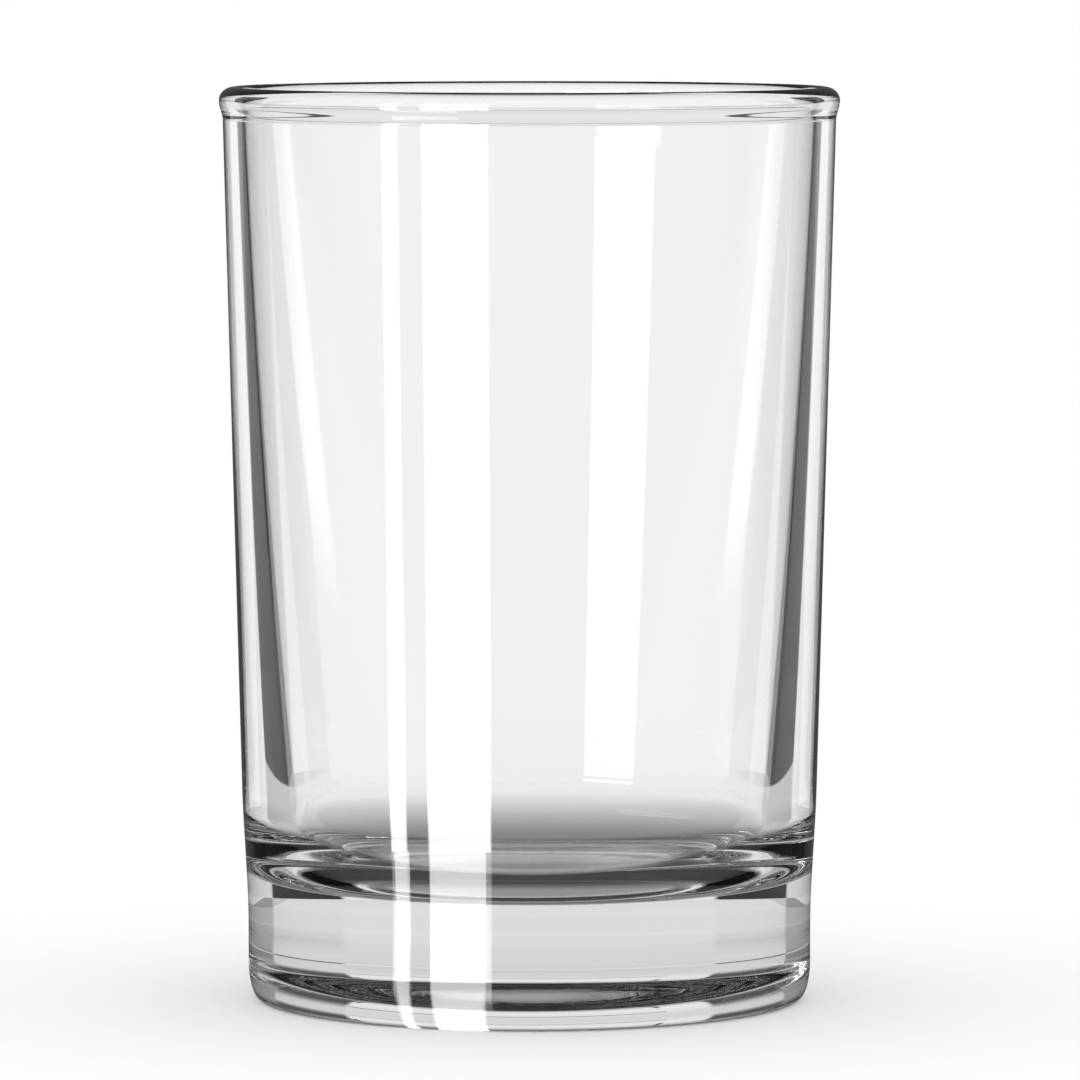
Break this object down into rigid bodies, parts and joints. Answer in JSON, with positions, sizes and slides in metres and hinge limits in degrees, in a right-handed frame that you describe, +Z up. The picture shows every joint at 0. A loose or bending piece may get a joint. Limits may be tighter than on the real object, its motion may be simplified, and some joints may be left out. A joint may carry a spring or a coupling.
{
  "type": "juice glass",
  "caption": "Small clear juice glass with a beaded rim, a wall that tapers and thickens downwards, and a heavy solid base.",
  "frame": {"origin": "centre of the bearing ring under the base, on the surface that the glass stands on", "axes": "+Z up along the axis of revolution, towards the rim; +X and +Y are any two directions across the glass"},
  "size_m": [0.0604, 0.0602, 0.0889],
  "materials": {
    "clear_glass": "polished"
  },
  "bodies": {
    "root": {"tumbler": "clear_glass"}
  },
  "joints": []
}
